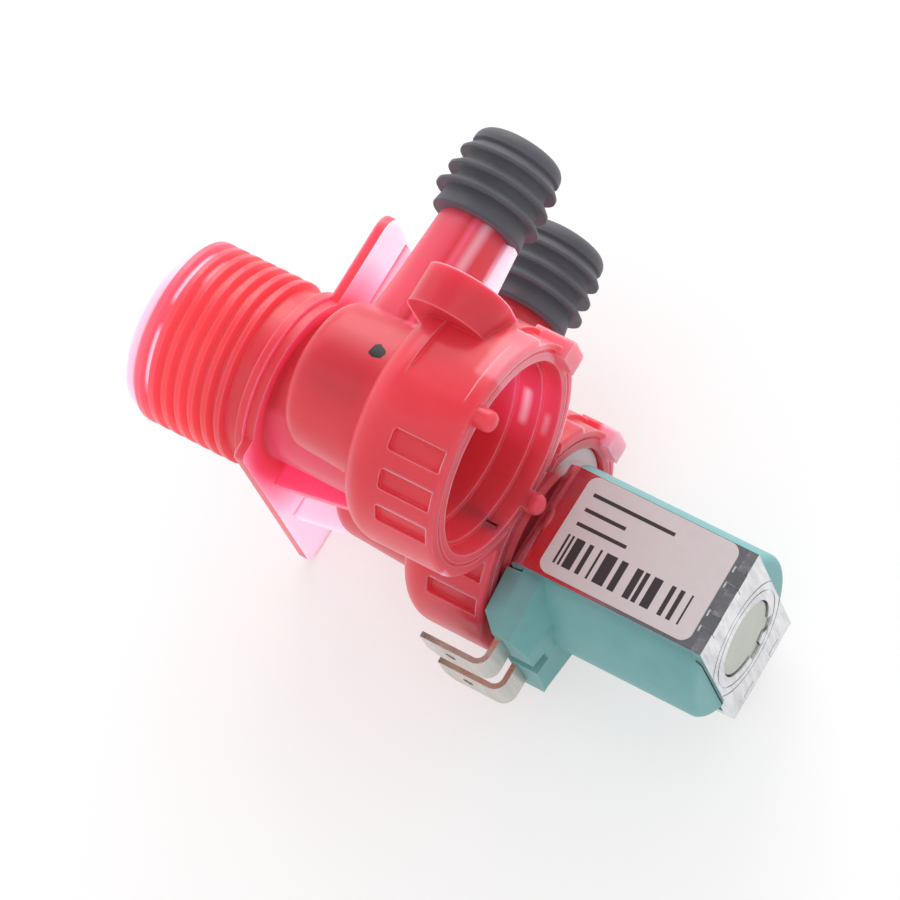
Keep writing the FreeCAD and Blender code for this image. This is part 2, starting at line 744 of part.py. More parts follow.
def make_yoke_end_plate():
    body = new_body("yoke_end_plate")
    top = "coil_z + yoke_high / 2"
    low = "coil_z - yoke_high / 2"
    start = ("0", "0", "yoke_end - yoke_thick")
    sketch = new_sketch(body, "PlateSketch", "YZ_Plane", start)
    add_outline(sketch, [
        ("coil_y - yoke_wide / 2", low),
        ("coil_y + yoke_wide / 2", low),
        ("coil_y + yoke_wide / 2", top),
        ("coil_y - yoke_wide / 2", top),
    ])
    pushed(body, "Plate", sketch, "yoke_thick")
    for side, first, second in (("Label", top + " - yoke_thick - 0.05", top + " + 1"),
                                ("Back", low + " - 1", low + " + yoke_thick + 0.05")):
        for place, shift in (("Low", "-4.65"), ("Top", "2.15")):
            sketch = new_sketch(body, side + place + "SlotSketch", "YZ_Plane",
                                ("0", "0", "yoke_end - yoke_thick - 1"))
            add_outline(sketch, [
                ("coil_y + %s" % shift, first),
                ("coil_y + %s + 2.5" % shift, first),
                ("coil_y + %s + 2.5" % shift, second),
                ("coil_y + %s" % shift, second),
            ])
            pushed(body, side + place + "Slot", sketch, "yoke_thick + 2", cut=True, back=True)
    turned(body, "TubeHole", [
        ("yoke_end - 4", "0"),
        ("yoke_end - 4", "guide_rad + 0.25"),
        ("yoke_end + 2", "guide_rad + 0.25"),
        ("yoke_end + 2", "0"),
    ], at=AXIS, cut=True)
    for name, inner in (("StampRing", "guide_rad + 1.6"), ("StampArc", "guide_rad + 2.9")):
        turned(body, name, [
            ("yoke_end - 0.2", inner + " + 0.1"),
            ("yoke_end - 0.2", inner + " + 0.3"),
            ("yoke_end + 1", inner + " + 0.4"),
            ("yoke_end + 1", inner),
        ], at=AXIS, cut=True)
    for place, angle in (("Low", 4), ("Top", 42)):
        sketch = new_sketch(body, place + "KeySketch", "YZ_Plane",
                            ("0", "0", "yoke_end - yoke_thick - 1"))
        add_outline(sketch, key_corners(angle, "guide_rad - 1.5", "guide_rad + 1.4", 1.2))
        pushed(body, place + "Key", sketch, "yoke_thick + 2", cut=True, back=True)


def make_flux_sleeve(label, first, second):
    body = new_body(label)
    turned(body, "Sleeve", [
        (first, "guide_rad + 0.05"),
        (first, "guide_rad + 0.75"),
        (second, "guide_rad + 0.75"),
        (second, "guide_rad + 0.05"),
    ], at=AXIS)


def make_coil_bobbin():
    body = new_body("coil_bobbin")
    turned(body, "Spool", [
        ("yoke_start + yoke_thick + 0.1", "guide_rad + 0.8"),
        ("yoke_start + yoke_thick + 0.1", "7.2"),
        ("yoke_start + 2.1", "7.2"),
        ("yoke_start + 2.1", "10.9"),
        ("yoke_start + 3.3", "10.9"),
        ("yoke_start + 3.3", "7.2"),
        ("yoke_end - 3.4", "7.2"),
        ("yoke_end - 3.4", "10.9"),
        ("yoke_end - 2.2", "10.9"),
        ("yoke_end - 2.2", "7.2"),
        ("yoke_end - yoke_thick - 0.1", "7.2"),
        ("yoke_end - yoke_thick - 0.1", "guide_rad + 0.8"),
    ], at=AXIS)


def make_coil_winding():
    body = new_body("coil_winding")
    turned(body, "Winding", [
        ("yoke_start + 3.35", "7.25"),
        ("yoke_start + 3.35", "10.5"),
        ("yoke_end - 3.45", "10.5"),
        ("yoke_end - 3.45", "7.25"),
    ], at=AXIS)


def make_coil_overmould():
    body = new_body("coil_overmould")
    turned(body, "Drum", [
        ("coil_start", "0"),
        ("coil_start", "coil_rad"),
        ("coil_end", "coil_rad", "1.3"),
        ("coil_end", "0"),
    ], at=("0", "mould_y", "coil_z"))
    low = new_sketch(body, "BlockLowSketch", "XZ_Plane", ("0", "0", "-block_low"))
    high = new_sketch(body, "BlockHighSketch", "XZ_Plane", ("0", "0", "7"))
    add_outline(low, [
        ("collar_front + 0.6", "coil_z + 8.6"),
        ("collar_front + 3.4", "coil_z + 9.2"),
        ("collar_front + 5.9", "coil_z + 9.2"),
        ("collar_front + 8.0", "coil_z + 5.6"),
        ("collar_front + 7.4", "coil_z - 9.0"),
        ("collar_front + 6.6", "coil_z - 11.4"),
        ("collar_front + 0.6", "coil_z - 11.4"),
    ])
    add_outline(high, [
        ("collar_front + 0.2", "coil_z + 9.6"),
        ("collar_front + 2.7", "coil_z + 10.6"),
        ("collar_front + 5.7", "coil_z + 10.6"),
        ("collar_front + 9.0", "coil_z + 5.0"),
        ("collar_front + 9.0", "coil_z - 8.0"),
        ("collar_front + 6.6", "coil_z - 10.8"),
        ("collar_front + 0.2", "coil_z - 10.8"),
    ])
    block = body.newObject("PartDesign::AdditiveLoft", "TerminalBlock")
    block.Profile = high
    block.Sections = [low]
    block.Ruled = True
    block.Refine = False
    body.Tip = block
    for name, first, second in (("LegSlotFront", "coil_start - 2", "yoke_start + yoke_thick + 0.05"),
                                ("LegSlotEnd", "yoke_end - yoke_thick - 0.05", "yoke_end + 1")):
        sketch = new_sketch(body, name + "Sketch", "XY_Plane", ("0", "0", "coil_z"))
        add_outline(sketch, [
            (first, "coil_y - yoke_wide / 2 - 0.1"),
            (second, "coil_y - yoke_wide / 2 - 0.1"),
            (second, "coil_y + yoke_wide / 2 + 0.1"),
            (first, "coil_y + yoke_wide / 2 + 0.1"),
        ])
        pushed(body, name, sketch, "40", cut=True, both=True)
    for name, first, second in (("BendRoomLabel", "coil_z + yoke_high / 2 - 3", "coil_z + yoke_high / 2"),
                                ("BendRoomBack", "coil_z - yoke_high / 2", "coil_z - yoke_high / 2 + 3")):
        sketch = new_sketch(body, name + "Sketch", "XZ_Plane", ("0", "0", "-coil_y"))
        add_outline(sketch, [
            ("coil_start - 1", first),
            ("yoke_start + yoke_bend + 0.1", first),
            ("yoke_start + yoke_bend + 0.1", second),
            ("coil_start - 1", second),
        ])
        pushed(body, name, sketch, "yoke_wide + 0.2", cut=True, both=True)
    turned(body, "SpoolRoom", [
        ("coil_start - 2", "0"),
        ("coil_start - 2", "7.25"),
        ("yoke_start + 2.05", "7.25"),
        ("yoke_start + 2.05", "10.95"),
        ("yoke_end - 2.15", "10.95"),
        ("yoke_end - 2.15", "7.25"),
        ("coil_end + 2", "7.25"),
        ("coil_end + 2", "0"),
    ], at=AXIS, cut=True)
    sketch = new_sketch(body, "SlopeSketch", "XY_Plane", ("0", "0", "coil_z"))
    add_outline(sketch, [
        ("collar_front - 1", "block_low + 3.8"),
        ("collar_front - 1", "block_low - 1"),
        ("collar_front + 4.2", "block_low - 1"),
    ])
    pushed(body, "BlockSlope", sketch, "40", cut=True, both=True)
    sketch = new_sketch(body, "GapSketch", "YZ_Plane", ("0", "0", "collar_front - 1"))
    add_outline(sketch, [
        ("block_low - 1", "coil_z - 2.1"),
        ("block_low + 2.6", "coil_z - 1.7"),
        ("block_low + 2.6", "coil_z + 0.9"),
        ("block_low - 1", "coil_z + 1.3"),
    ])
    pushed(body, "BlockGap", sketch, "12", cut=True, back=True)
    for name, shift in (("Near", "+ tab_space / 2 - 0.4"), ("Far", "- tab_space / 2 - 0.4")):
        sketch = new_sketch(body, name + "TabSlotSketch", "XZ_Plane", ("0", "0", "13.4"))
        add_outline(sketch, [
            ("tab_x - tab_thick / 2 - 0.05", "coil_z %s - tab_wide / 2 - 0.05" % shift),
            ("tab_x + tab_thick / 2 + 0.05", "coil_z %s - tab_wide / 2 - 0.05" % shift),
            ("tab_x + tab_thick / 2 + 0.05", "coil_z %s + tab_wide / 2 + 0.05" % shift),
            ("tab_x - tab_thick / 2 - 0.05", "coil_z %s + tab_wide / 2 + 0.05" % shift),
        ])
        pushed(body, name + "TabSlot", sketch, "8", cut=True, back=True)


def make_terminal(label, shift):
    body = new_body(label)
    sketch = new_sketch(body, "BladeSketch", "XY_Plane", ("0", "0", "coil_z %s" % shift))
    add_outline(sketch, [
        ("tab_x + tab_thick / 2", "-13.5"),
        ("tab_x - tab_thick / 2", "-13.5"),
        ("tab_x - tab_thick / 2", "tab_y + tab_thick / 2", "1.2"),
        ("tab_tip", "tab_y + tab_thick / 2"),
        ("tab_tip", "tab_y - tab_thick / 2"),
        ("tab_x + tab_thick / 2", "tab_y - tab_thick / 2", "2.0"),
    ])
    pushed(body, "Blade", sketch, "tab_wide", both=True)
    sketch = new_sketch(body, "TipSketch", "XZ_Plane", ("0", "0", "-tab_y - 2"))
    add_outline(sketch, [
        ("tab_tip - 1", "coil_z %s - tab_wide / 2 - 1" % shift),
        ("tab_tip + 2.4", "coil_z %s - tab_wide / 2 - 1" % shift),
        ("tab_tip + 1.4", "coil_z %s - tab_wide / 2" % shift),
        ("tab_tip", "coil_z %s - tab_wide / 2 + 1.6" % shift),
        ("tab_tip - 1", "coil_z %s - tab_wide / 2 + 2.6" % shift),
    ])
    pushed(body, "TipCorner", sketch, "4", cut=True, back=True)
    sketch = new_sketch(body, "HoleSketch", "XZ_Plane", ("0", "0", "-tab_y - 2"))
    add_disc(sketch, ("tab_tip + 4.2", "coil_z %s" % shift), "0.8")
    pushed(body, "LatchHole", sketch, "4", cut=True, back=True)


def make_label():
    body = new_body("label")
    sketch = new_sketch(body, "LabelSketch", "XY_Plane", ("0", "0", "coil_z + yoke_high / 2"))
    add_outline(sketch, [
        ("yoke_start + 4.1", "coil_y - yoke_wide / 2 + 0.55", "1.6"),
        ("yoke_end - 2.4", "coil_y - yoke_wide / 2 + 0.55", "1.6"),
        ("yoke_end - 2.4", "coil_y + yoke_wide / 2 - 0.1", "1.6"),
        ("yoke_start + 4.4", "coil_y + yoke_wide / 2 - 0.1", "1.6"),
    ])
    pushed(body, "Sticker", sketch, "0.12")


make_valve_body()
make_outlet_seal("outlet_seal_near", "near_out_z")
make_outlet_seal("outlet_seal_far", "far_out_z")
make_inlet_strainer()
make_flow_washer()
make_guide_tube()
make_diaphragm()
make_diaphragm_insert()
make_plunger()
make_plunger_tip_seal()
make_plunger_spring()
make_yoke_frame()
make_yoke_end_plate()
make_flux_sleeve("flux_sleeve_front", "yoke_start", "yoke_start + (yoke_end - yoke_start) * 0.33")
make_flux_sleeve("flux_sleeve_rear", "yoke_end - (yoke_end - yoke_start) * 0.36",
                 "yoke_end - yoke_thick - 0.1")
make_coil_bobbin()
make_coil_winding()
make_coil_overmould()
make_terminal("terminal_1", "+ tab_space / 2 - 0.4")
make_terminal("terminal_2", "- tab_space / 2 - 0.4")
make_label()
doc.recompute()

faults = [item.Name for item in doc.Objects if "Invalid" in item.State or "Error" in item.State]
if faults:
    raise RuntimeError("features with errors: " + ", ".join(faults))

pieces = [item for item in doc.Objects if item.TypeId == "PartDesign::Body"]
for piece in pieces:
    if piece.Shape.isNull() or not piece.Shape.isValid():
        raise RuntimeError("bad shape: " + piece.Label)

os.makedirs("parts", exist_ok=True)
for piece in pieces:
    piece.Shape.exportStep("parts/%s.step" % piece.Label)
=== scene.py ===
import json
import math
import bpy
import numpy as np
from mathutils import Matrix, Vector

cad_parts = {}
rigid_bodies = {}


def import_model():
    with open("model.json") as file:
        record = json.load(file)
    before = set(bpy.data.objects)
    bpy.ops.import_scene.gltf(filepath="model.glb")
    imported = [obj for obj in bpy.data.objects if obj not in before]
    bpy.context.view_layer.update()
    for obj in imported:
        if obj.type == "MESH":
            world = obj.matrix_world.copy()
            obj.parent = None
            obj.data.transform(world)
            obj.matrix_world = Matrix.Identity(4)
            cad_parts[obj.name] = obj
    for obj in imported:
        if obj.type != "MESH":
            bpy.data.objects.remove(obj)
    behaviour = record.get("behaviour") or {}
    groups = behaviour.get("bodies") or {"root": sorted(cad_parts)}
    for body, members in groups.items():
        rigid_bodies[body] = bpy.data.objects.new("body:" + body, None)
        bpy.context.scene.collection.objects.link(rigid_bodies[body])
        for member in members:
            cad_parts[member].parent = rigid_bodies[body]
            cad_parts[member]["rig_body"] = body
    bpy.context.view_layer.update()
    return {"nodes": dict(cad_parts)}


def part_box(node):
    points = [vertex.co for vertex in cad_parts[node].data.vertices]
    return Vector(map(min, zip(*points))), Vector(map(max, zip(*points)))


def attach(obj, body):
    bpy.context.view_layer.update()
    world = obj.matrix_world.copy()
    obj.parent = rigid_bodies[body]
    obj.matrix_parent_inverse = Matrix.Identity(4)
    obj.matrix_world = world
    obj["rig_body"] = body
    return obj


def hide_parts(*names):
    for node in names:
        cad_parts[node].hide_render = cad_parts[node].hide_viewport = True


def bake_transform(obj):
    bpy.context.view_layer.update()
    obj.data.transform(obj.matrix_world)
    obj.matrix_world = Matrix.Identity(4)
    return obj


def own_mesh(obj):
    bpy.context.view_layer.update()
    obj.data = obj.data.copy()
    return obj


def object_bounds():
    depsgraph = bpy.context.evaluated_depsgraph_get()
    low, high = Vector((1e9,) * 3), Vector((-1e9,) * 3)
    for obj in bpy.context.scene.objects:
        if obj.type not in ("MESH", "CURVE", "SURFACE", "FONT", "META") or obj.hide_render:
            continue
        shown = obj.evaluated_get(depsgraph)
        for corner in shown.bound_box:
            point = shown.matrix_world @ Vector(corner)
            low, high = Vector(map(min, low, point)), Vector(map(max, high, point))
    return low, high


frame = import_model()
MM = 0.001


# Valve body
# One moulding in clear red plastic: hose nipple, flange, two chambers and two outlets. The light
# that passes the thin walls is painted on as pink colour and glow, and the thick chambers look a
# deep cloudy red, part of which is painted shade.

MERGE_GAP = 0.002 * MM
SHARP_ANGLE = math.radians(32)


def smoothed(node):
    """Stand a merged, smooth-shaded copy in the place of a CAD node, its edges kept sharp."""
    solid = frame["nodes"][node]
    mesh = solid.data.copy()
    mesh.materials.clear()
    piece = bpy.data.objects.new(node + "_skin", mesh)
    bpy.context.scene.collection.objects.link(piece)
    bpy.ops.object.select_all(action="DESELECT")
    piece.select_set(True)
    bpy.context.view_layer.objects.active = piece
    bpy.ops.object.mode_set(mode="EDIT")
    bpy.ops.mesh.select_all(action="SELECT")
    bpy.ops.mesh.customdata_custom_splitnormals_clear()
    bpy.ops.mesh.remove_doubles(threshold=MERGE_GAP)
    bpy.ops.object.mode_set(mode="OBJECT")
    mesh.shade_smooth()
    mesh.set_sharp_from_angle(angle=SHARP_ANGLE)
    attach(piece, solid["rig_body"])
    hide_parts(node)
    return piece


def new_finish(name, **plain):
    """Start a material whose shader holds the given plain values, and return it."""
    finish = bpy.data.materials.new(name)
    finish.use_nodes = True
    shader = finish.node_tree.nodes["Principled BSDF"]
    for socket, value in plain.items():
        shader.inputs[socket.replace("_", " ")].default_value = value
    return finish


def add_node(tree, kind, values=(), **settings):
    """Add one node, with its settings and the plain values of its sockets."""
    node = tree.nodes.new(kind)
    for setting, value in settings.items():
        setattr(node, setting, value)
    for socket, value in dict(values).items():
        node.inputs[socket].default_value = value
    return node


def new_effect(name, inputs, outputs):
    """Start a shared effect and return its tree with its own input and output nodes."""
    tree = bpy.data.node_groups.new(name, "ShaderNodeTree")
    for socket, kind, value in inputs:
        made = tree.interface.new_socket(socket, in_out="INPUT", socket_type=kind)
        made.default_value = value
    for socket, kind in outputs:
        tree.interface.new_socket(socket, in_out="OUTPUT", socket_type=kind)
    return tree, tree.nodes.new("NodeGroupInput"), tree.nodes.new("NodeGroupOutput")


def moulded_skin():
    """Cloudy colour of two tones, uneven gloss, fine grain, softened edges and their mask."""
    tree, given, result = new_effect("moulded_skin", [
        ("Tone", "NodeSocketColor", (0.5, 0.5, 0.5, 1)),
        ("Deep Tone", "NodeSocketColor", (0.4, 0.4, 0.4, 1)),
        ("Cloud Scale", "NodeSocketFloat", 60.0),
        ("Grain Scale", "NodeSocketFloat", 2500.0),
        ("Grain Depth", "NodeSocketFloat", 0.1),
        ("Gloss Low", "NodeSocketFloat", 0.3),
        ("Gloss High", "NodeSocketFloat", 0.45),
        ("Edge Radius", "NodeSocketFloat", 0.12 * MM),
    ], [
        ("Color", "NodeSocketColor"),
        ("Roughness", "NodeSocketFloat"),
        ("Normal", "NodeSocketVector"),
        ("Edge", "NodeSocketFloat"),
    ])
    link = tree.links.new
    place = add_node(tree, "ShaderNodeTexCoord")
    cloud = add_node(tree, "ShaderNodeTexNoise", {"Detail": 5.0, "Roughness": 0.6})
    link(place.outputs["Object"], cloud.inputs["Vector"])
    link(given.outputs["Cloud Scale"], cloud.inputs["Scale"])
    spread = add_node(tree, "ShaderNodeMapRange", {"From Min": 0.3, "From Max": 0.7})
    link(cloud.outputs["Fac"], spread.inputs["Value"])
    tint = add_node(tree, "ShaderNodeMix", data_type="RGBA")
    link(spread.outputs["Result"], tint.inputs["Factor"])
    link(given.outputs["Deep Tone"], tint.inputs["A"])
    link(given.outputs["Tone"], tint.inputs["B"])
    link(tint.outputs["Result"], result.inputs["Color"])
    gloss = add_node(tree, "ShaderNodeMix", data_type="FLOAT")
    link(spread.outputs["Result"], gloss.inputs["Factor"])
    link(given.outputs["Gloss Low"], gloss.inputs["A"])
    link(given.outputs["Gloss High"], gloss.inputs["B"])
    link(gloss.outputs["Result"], result.inputs["Roughness"])

    # The grain is a bump over the normal that rounds the edges off.
    grain = add_node(tree, "ShaderNodeTexNoise", {"Detail": 3.0})
    link(place.outputs["Object"], grain.inputs["Vector"])
    link(given.outputs["Grain Scale"], grain.inputs["Scale"])
    rounded = add_node(tree, "ShaderNodeBevel", samples=4)
    link(given.outputs["Edge Radius"], rounded.inputs["Radius"])
    bump = add_node(tree, "ShaderNodeBump", {"Distance": 0.1 * MM})
    link(grain.outputs["Fac"], bump.inputs["Height"])
    link(given.outputs["Grain Depth"], bump.inputs["Strength"])
    link(rounded.outputs["Normal"], bump.inputs["Normal"])
    link(bump.outputs["Normal"], result.inputs["Normal"])

    # The edge mask rises where that normal turns away from the face's own.
    facing = add_node(tree, "ShaderNodeNewGeometry")
    agree = add_node(tree, "ShaderNodeVectorMath", operation="DOT_PRODUCT")
    link(rounded.outputs["Normal"], agree.inputs[0])
    link(facing.outputs["Normal"], agree.inputs[1])
    turned = add_node(tree, "ShaderNodeMapRange", {"From Min": 0.98, "From Max": 0.80})
    link(agree.outputs["Value"], turned.inputs["Value"])
    link(turned.outputs["Result"], result.inputs["Edge"])
    return tree


def put_effect(finish, effect, **values):
    """Place a shared effect in a material and lead what it gives to the shader."""
    tree = finish.node_tree
    node = tree.nodes.new("ShaderNodeGroup")
    node.node_tree = effect
    for socket, value in values.items():
        node.inputs[socket.replace("_", " ")].default_value = value
    shader = tree.nodes["Principled BSDF"]
    tree.links.new(node.outputs["Color"], shader.inputs["Base Color"])
    tree.links.new(node.outputs["Roughness"], shader.inputs["Roughness"])
    tree.links.new(node.outputs["Normal"], shader.inputs["Normal"])
    return node


SKIN = moulded_skin()
CLEAR_RED = (0.92, 0.090, 0.120, 1)
DEEP_RED = (0.84, 0.066, 0.092, 1)
body_red = new_finish("clear_red_moulding", IOR=1.38, Specular_IOR_Level=0.35,
                      Transmission_Weight=0.12, Subsurface_Weight=1.0,
                      Subsurface_Radius=(1.0, 0.6, 0.72), Subsurface_Scale=6 * MM,
                      Coat_Weight=0.18, Coat_Roughness=0.12, Emission_Strength=1.0)
body_skin = put_effect(body_red, SKIN, Tone=CLEAR_RED, Deep_Tone=DEEP_RED,
                       Cloud_Scale=45.0, Grain_Scale=900.0, Grain_Depth=0.06,
                       Gloss_Low=0.28, Gloss_High=0.42, Edge_Radius=0.3 * MM)
tree = body_red.node_tree
link = tree.links.new
place = add_node(tree, "ShaderNodeTexCoord")
where = add_node(tree, "ShaderNodeSeparateXYZ")
link(place.outputs["Object"], where.inputs["Vector"])
facing = add_node(tree, "ShaderNodeNewGeometry")
slope = add_node(tree, "ShaderNodeSeparateXYZ")
link(facing.outputs["True Normal"], slope.inputs["Vector"])


def combined(tree, operation, first, second):
    """The product, sum, larger or smaller of two values over the surface."""
    node = add_node(tree, "ShaderNodeMath", operation=operation)
    tree.links.new(first, node.inputs[0])
    tree.links.new(second, node.inputs[1])
    return node.outputs["Value"]


def between(tree, value, low, high, soft=1e-6):
    """One where the value lies between two limits and nought elsewhere, with soft ends."""
    rise = add_node(tree, "ShaderNodeMapRange", {"From Min": low - soft, "From Max": low + soft})
    fall = add_node(tree, "ShaderNodeMapRange", {"From Min": high + soft, "From Max": high - soft})
    tree.links.new(value, rise.inputs["Value"])
    tree.links.new(value, fall.inputs["Value"])
    return combined(tree, "MULTIPLY", rise.outputs["Result"], fall.outputs["Result"])


def share(tree, mask, part):
    """The mask made weaker by a plain share."""
    node = add_node(tree, "ShaderNodeMath", {1: part}, operation="MULTIPLY")
    tree.links.new(mask, node.inputs[0])
    return node.outputs["Value"]


def distance_from(tree, place, centre):
    """The distance from a line along X through a centre given in millimetres."""
    flatten = add_node(tree, "ShaderNodeVectorMath", {1: (0.0, 1.0, 1.0)}, operation="MULTIPLY")
    tree.links.new(place.outputs["Object"], flatten.inputs[0])
    axis_point = (0.0, centre[0] * MM, centre[1] * MM)
    reach = add_node(tree, "ShaderNodeVectorMath", {1: axis_point}, operation="DISTANCE")
    tree.links.new(flatten.outputs["Vector"], reach.inputs[0])
    return reach.outputs["Value"]


# The flange is thin enough to let the room's white light through, and that light is painted on:
# hot pink close to the drums and nearly white at its corners, most of all at the top.
FACING_X = 0.6
PAST_ONE = 1.2
FLANGE_BAND = (-0.4 * MM, 1.9 * MM)
HOT_FROM = 12.5 * MM
PALE_FROM = 17 * MM
FAR_OFF = 90 * MM
BACK_SHARE = 0.4
LOWER_SHARE = 0.78
front_face = between(tree, slope.outputs["X"], FACING_X, PAST_ONE, 0.1)
back_face = between(tree, slope.outputs["X"], -PAST_ONE, -FACING_X, 0.1)
back_face = share(tree, back_face, BACK_SHARE)
flange_faces = combined(tree, "MULTIPLY", combined(tree, "MAXIMUM", front_face, back_face),
                        between(tree, where.outputs["X"], *FLANGE_BAND, 0.1 * MM))
from_axis = distance_from(tree, place, (0, 0))
flange_hot = combined(tree, "MULTIPLY", flange_faces,
                      between(tree, from_axis, HOT_FROM, FAR_OFF, 2.0 * MM))
flange_pale = combined(tree, "MULTIPLY", flange_faces,
                       between(tree, from_axis, PALE_FROM, FAR_OFF, 4.0 * MM))
flange_top = combined(tree, "MULTIPLY", flange_pale,
                      between(tree, where.outputs["Y"], 0.0, FAR_OFF, 4.0 * MM))
flange_pale = combined(tree, "MAXIMUM", flange_top, share(tree, flange_pale, LOWER_SHARE))


def zone(tree, axes, low, high, soft=0.4):
    """One inside a box given in millimetres, with soft sides, and nought outside it."""
    inside = between(tree, axes.outputs["X"], low[0] * MM, high[0] * MM, soft * MM)
    for axis, start, stop in (("Y", low[1], high[1]), ("Z", low[2], high[2])):
        side = between(tree, axes.outputs[axis], start * MM, stop * MM, soft * MM)
        inside = combined(tree, "MULTIPLY", inside, side)
    return inside


# Painted highlights: white light from behind is painted on as thin pale arcs in the first grooves
# of the thread. Along a groove, X less the pitch times the share of a turn stays the same.
THREAD_PITCH = 2.209 * MM
FIRST_GROOVE = (-17.8, -17.4)
SECOND_GROOVE = (-15.6, -15.2)
GROOVE_ARCS = {
    "lower arc": (FIRST_GROOVE, (-18.5, -11.0, 4), (-14, -4.1, 14), 0.9),
    "upper arc": (FIRST_GROOVE, (-18.5, 0.0, 4), (-14, 9.2, 14), 0.8),
    "faint arc": (SECOND_GROOVE, (-18.5, 4.5, 4), (-12, 9.0, 14), 0.4),
}
winding = add_node(tree, "ShaderNodeMath", operation="ARCTAN2")
link(where.outputs["Z"], winding.inputs[0])
link(where.outputs["Y"], winding.inputs[1])
climb = add_node(tree, "ShaderNodeMath", {1: -THREAD_PITCH / (2 * math.pi)},
                 operation="MULTIPLY_ADD")
link(winding.outputs["Value"], climb.inputs[0])
link(where.outputs["X"], climb.inputs[2])
pale = flange_pale
for (start, stop), low, high, part in GROOVE_ARCS.values():
    groove = between(tree, climb.outputs["Value"], start * MM, stop * MM, 0.08 * MM)
    arc = combined(tree, "MULTIPLY", groove, zone(tree, where, low, high, 0.8))
    pale = combined(tree, "MAXIMUM", pale, share(tree, arc, part))


def with_places(tree, axes, mask, places):
    """The mask raised, in each named box, to the share that the box is given."""
    for low, high, part in places.values():
        mask = combined(tree, "MAXIMUM", mask, share(tree, zone(tree, axes, low, high), part))
    return mask


# Other thin places get a painted glow as well, each by its own share. Webs, fins, lugs and rims
# are painted pale, and the wall of the open chamber and the near outlet hot pink. The near
# outlet's stripe and line, the near collar's lower side and two rings in the open chamber are
# painted highlights.
PALE_PLACES = {
    "outer web": ((1.6, -14.5, -20.2), (24, -8.0, -17.2), 0.85),
    "rib of the flange": ((1.7, 8, -3.6), (3.6, 25, -1.6), 0.6),
    "near fin": ((21.9, 11, 13.4), (25.5, 27, 15.8), 1.0),
    "far fin": ((21.9, 11, -16.2), (25.5, 27, -13.8), 0.7),
    "painted stripe on the near outlet": ((19.1, 7, 14.6), (20.1, 27, 22), 0.35),
    "near lug": ((31, 14.6, 12.0), (39, 19, 18.4), 0.13),
    "far lug": ((36, 14.3, -19.6), (39, 19, -12.8), 0.30),
    "upper rim of the near collar": ((33.8, 4.8, 18), (38.4, 14.2, 33), 0.13),
    "painted highlight on the lower side of the near collar": ((22.5, -18.5, 9.5), (37.5, -16.4, 13.0), 0.5),
}
HOT_PLACES = {
    "inner web": ((1.6, -14.5, -8.6), (24, -8.0, -5.6), 0.8),
    "manifold": ((1.6, -10.9, -9), (22, -3.5, 8), 0.35),
    "near outlet": ((11.6, 5, 14.6), (17.0, 27, 22), 0.25),
    "painted line on the near outlet": ((17.9, 5, 14.6), (18.6, 27, 22), 0.8),
}
CHAMBER_RINGS = (
    ((32.2, 8, -1), (33.3, 13.5, 9)),
    ((35.6, 8, -1), (36.3, 13.5, 6)),
)
CHAMBER_SIDE = ((28, 8, -3), (36.6, 16, 12))
CHAMBER_REACH = 14.3 * MM
NEAR_AXIS = (0, 15.4)
pale = with_places(tree, where, pale, PALE_PLACES)
hot = with_places(tree, where, flange_hot, HOT_PLACES)
from_near_axis = distance_from(tree, place, NEAR_AXIS)
chamber_wall = combined(tree, "MULTIPLY", zone(tree, where, *CHAMBER_SIDE, 3.0),
                        between(tree, from_near_axis, 0, CHAMBER_REACH, 0.2 * MM))
hot = combined(tree, "MAXIMUM", hot, share(tree, chamber_wall, 0.8))
for low, high in CHAMBER_RINGS:
    ring = combined(tree, "MULTIPLY", chamber_wall, zone(tree, where, low, high))
    pale = combined(tree, "MAXIMUM", pale, share(tree, ring, 0.7))

# The nipple is painted a darker red with an even painted glow, pinker towards its end, and its
# lip is painted nearly white as if lit through. The near drum and the ear are thick and are
# painted a deeper cloudy red, which stands for their depth and is also painted shade.
nipple = between(tree, where.outputs["X"], -40 * MM, -5 * MM, 5 * MM)
nipple_end = between(tree, where.outputs["X"], -40 * MM, -16.6 * MM, 1.8 * MM)
lip = between(tree, where.outputs["X"], -30 * MM, -19.0 * MM, 0.2 * MM)
near_drum = zone(tree, where, (7, -6, 6), (21, 12, 29), 2.0)
ear = zone(tree, where, (19.5, 9.6, 17), (33, 16, 36), 0.5)
thick_and_shaded = share(tree, combined(tree, "MAXIMUM", near_drum, ear), 0.7)
# Edges are painted pale pink, a painted highlight where they catch the light.
painted_edge_highlight = share(tree, body_skin.outputs["Edge"], 0.25)


def tinted(tree, mask, under, colour):
    """The colour laid over another one where the mask is one."""
    node = add_node(tree, "ShaderNodeMix", {"B": colour}, data_type="RGBA")
    tree.links.new(mask, node.inputs["Factor"])
    tree.links.new(under, node.inputs["A"])
    return node.outputs["Result"]


CLOUDY_SHADED_RED = (0.62, 0.045, 0.070, 1)
NIPPLE_RED = (0.52, 0.028, 0.038, 1)
HOT_PINK = (1.0, 0.17, 0.27, 1)
PAINTED_LIGHT_PINK = (1.0, 0.80, 0.92, 1)
LIP_PINK = (0.55, 0.42, 0.50, 1)
colour = tinted(tree, thick_and_shaded, body_skin.outputs["Color"], CLOUDY_SHADED_RED)
colour = tinted(tree, nipple, colour, NIPPLE_RED)
colour = tinted(tree, hot, colour, HOT_PINK)
colour = tinted(tree, painted_edge_highlight, colour, PAINTED_LIGHT_PINK)
colour = tinted(tree, share(tree, nipple, 0.7), colour, NIPPLE_RED)
colour = tinted(tree, pale, colour, PAINTED_LIGHT_PINK)
colour = tinted(tree, lip, colour, LIP_PINK)
